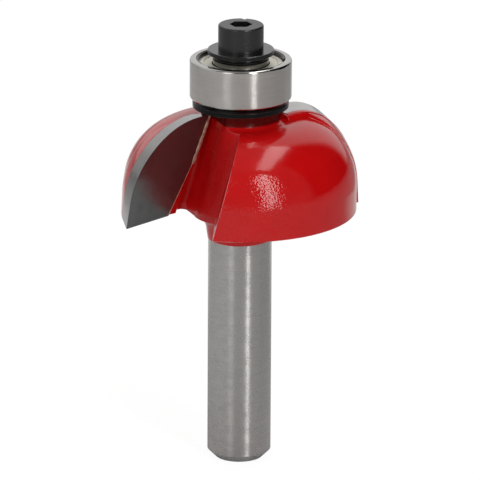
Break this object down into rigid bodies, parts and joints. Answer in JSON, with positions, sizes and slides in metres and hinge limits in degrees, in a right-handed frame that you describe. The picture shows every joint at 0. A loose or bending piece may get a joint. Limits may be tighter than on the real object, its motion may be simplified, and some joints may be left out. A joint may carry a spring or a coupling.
{
  "type": "cove router bit",
  "caption": "Cove router bit with straight shank, domed head with sheared flutes and brazed cutting tips, and a guide ball bearing held by a cap screw.",
  "frame": {"origin": "centre of the shank's end face, on the tool's axis", "axes": "+Z along the axis from the shank's end to the cap screw; the first tip's lower end lies towards -X, -Y"},
  "size_m": [0.0296, 0.029, 0.0565],
  "materials": {
    "body_steel": "gloss red paint on the head, bare ground steel on the shank",
    "carbide": "ground dark grey carbide",
    "braze": "pale copper-coloured brazing filler",
    "black_steel": "black oxide",
    "screw_steel": "black oxide, satin",
    "bearing_steel": "satin ground bearing steel",
    "ball_steel": "polished bearing steel",
    "cage_steel": "pressed brass",
    "shield": "cream, slightly translucent sealing disc",
    "ring_steel": "dark spring wire"
  },
  "bodies": {
    "cutter": {"cutter_body": "body_steel", "carbide_tip_1": "carbide", "carbide_tip_2": "carbide", "braze_layer_1": "braze", "braze_layer_2": "braze", "lower_washer": "black_steel", "inner_race": "bearing_steel", "spacer_ring": "black_steel", "upper_washer": "black_steel", "cap_screw": "screw_steel"},
    "bearing_rim": {"outer_race": "bearing_steel", "upper_shield": "shield", "lower_shield": "shield", "upper_shield_ring": "ring_steel", "lower_shield_ring": "ring_steel"},
    "ball_set": {"ball_1": "ball_steel", "ball_2": "ball_steel", "ball_3": "ball_steel", "ball_4": "ball_steel", "ball_5": "ball_steel", "ball_6": "ball_steel", "ball_7": "ball_steel", "ball_cage": "cage_steel"}
  },
  "joints": [
    {"name": "bearing_spin", "type": "hinge", "parent": "cutter", "child": "bearing_rim", "pos_m": [0, 0, 0.04969], "axis": [0, 0, 1], "continuous": true},
    {"name": "ball_set_spin", "type": "hinge", "parent": "cutter", "child": "ball_set", "pos_m": [0, 0, 0.04969], "axis": [0, 0, 1], "continuous": true}
  ],
  "couplings": [
    {"joint": "ball_set_spin", "follows": "bearing_spin", "ratio": 0.6363}
  ]
}
